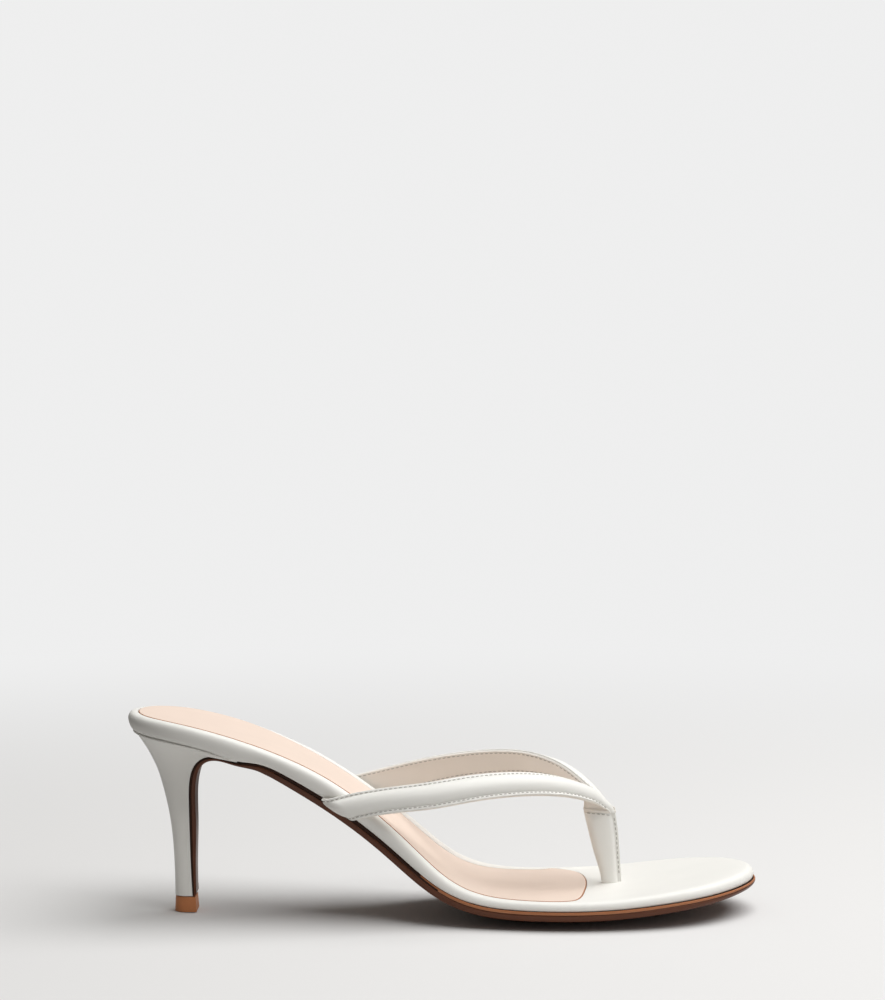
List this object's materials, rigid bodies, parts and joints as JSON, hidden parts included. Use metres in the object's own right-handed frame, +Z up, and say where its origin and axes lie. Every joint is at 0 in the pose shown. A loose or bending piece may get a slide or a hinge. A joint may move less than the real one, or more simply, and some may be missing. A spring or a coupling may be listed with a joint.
{
  "type": "heeled toe post sandal",
  "caption": "Backless heeled sandal with two padded straps that meet at a toe post, a padded footbed, a slim covered heel and a crowned sole.",
  "frame": {"origin": "centre of the shoe's bounding box, at the level of the floor it stands on", "axes": "+X from the heel to the toe, +Y to the foot's inner (medial) side, +Z up"},
  "size_m": [0.2262, 0.077, 0.0728],
  "materials": {
    "outsole": "dyed and burnished sole leather, dark brown flank with a tan upper edge",
    "footbed": "ivory semi-gloss leather wrapped over a padded board",
    "sock_lining": "matt nude lining leather with a raw edge",
    "heel": "ivory semi-gloss leather wrapped over a moulded heel",
    "top_piece": "satin tan moulded top piece",
    "upper": "ivory semi-gloss leather, stitched along both edges, nude lining",
    "toe_post": "ivory semi-gloss leather, stitched down its front edge"
  },
  "bodies": {
    "root": {"outsole": "outsole", "footbed": "footbed", "sock_lining": "sock_lining", "heel": "heel", "top_piece": "top_piece", "upper": "upper", "toe_post": "toe_post"}
  },
  "joints": []
}
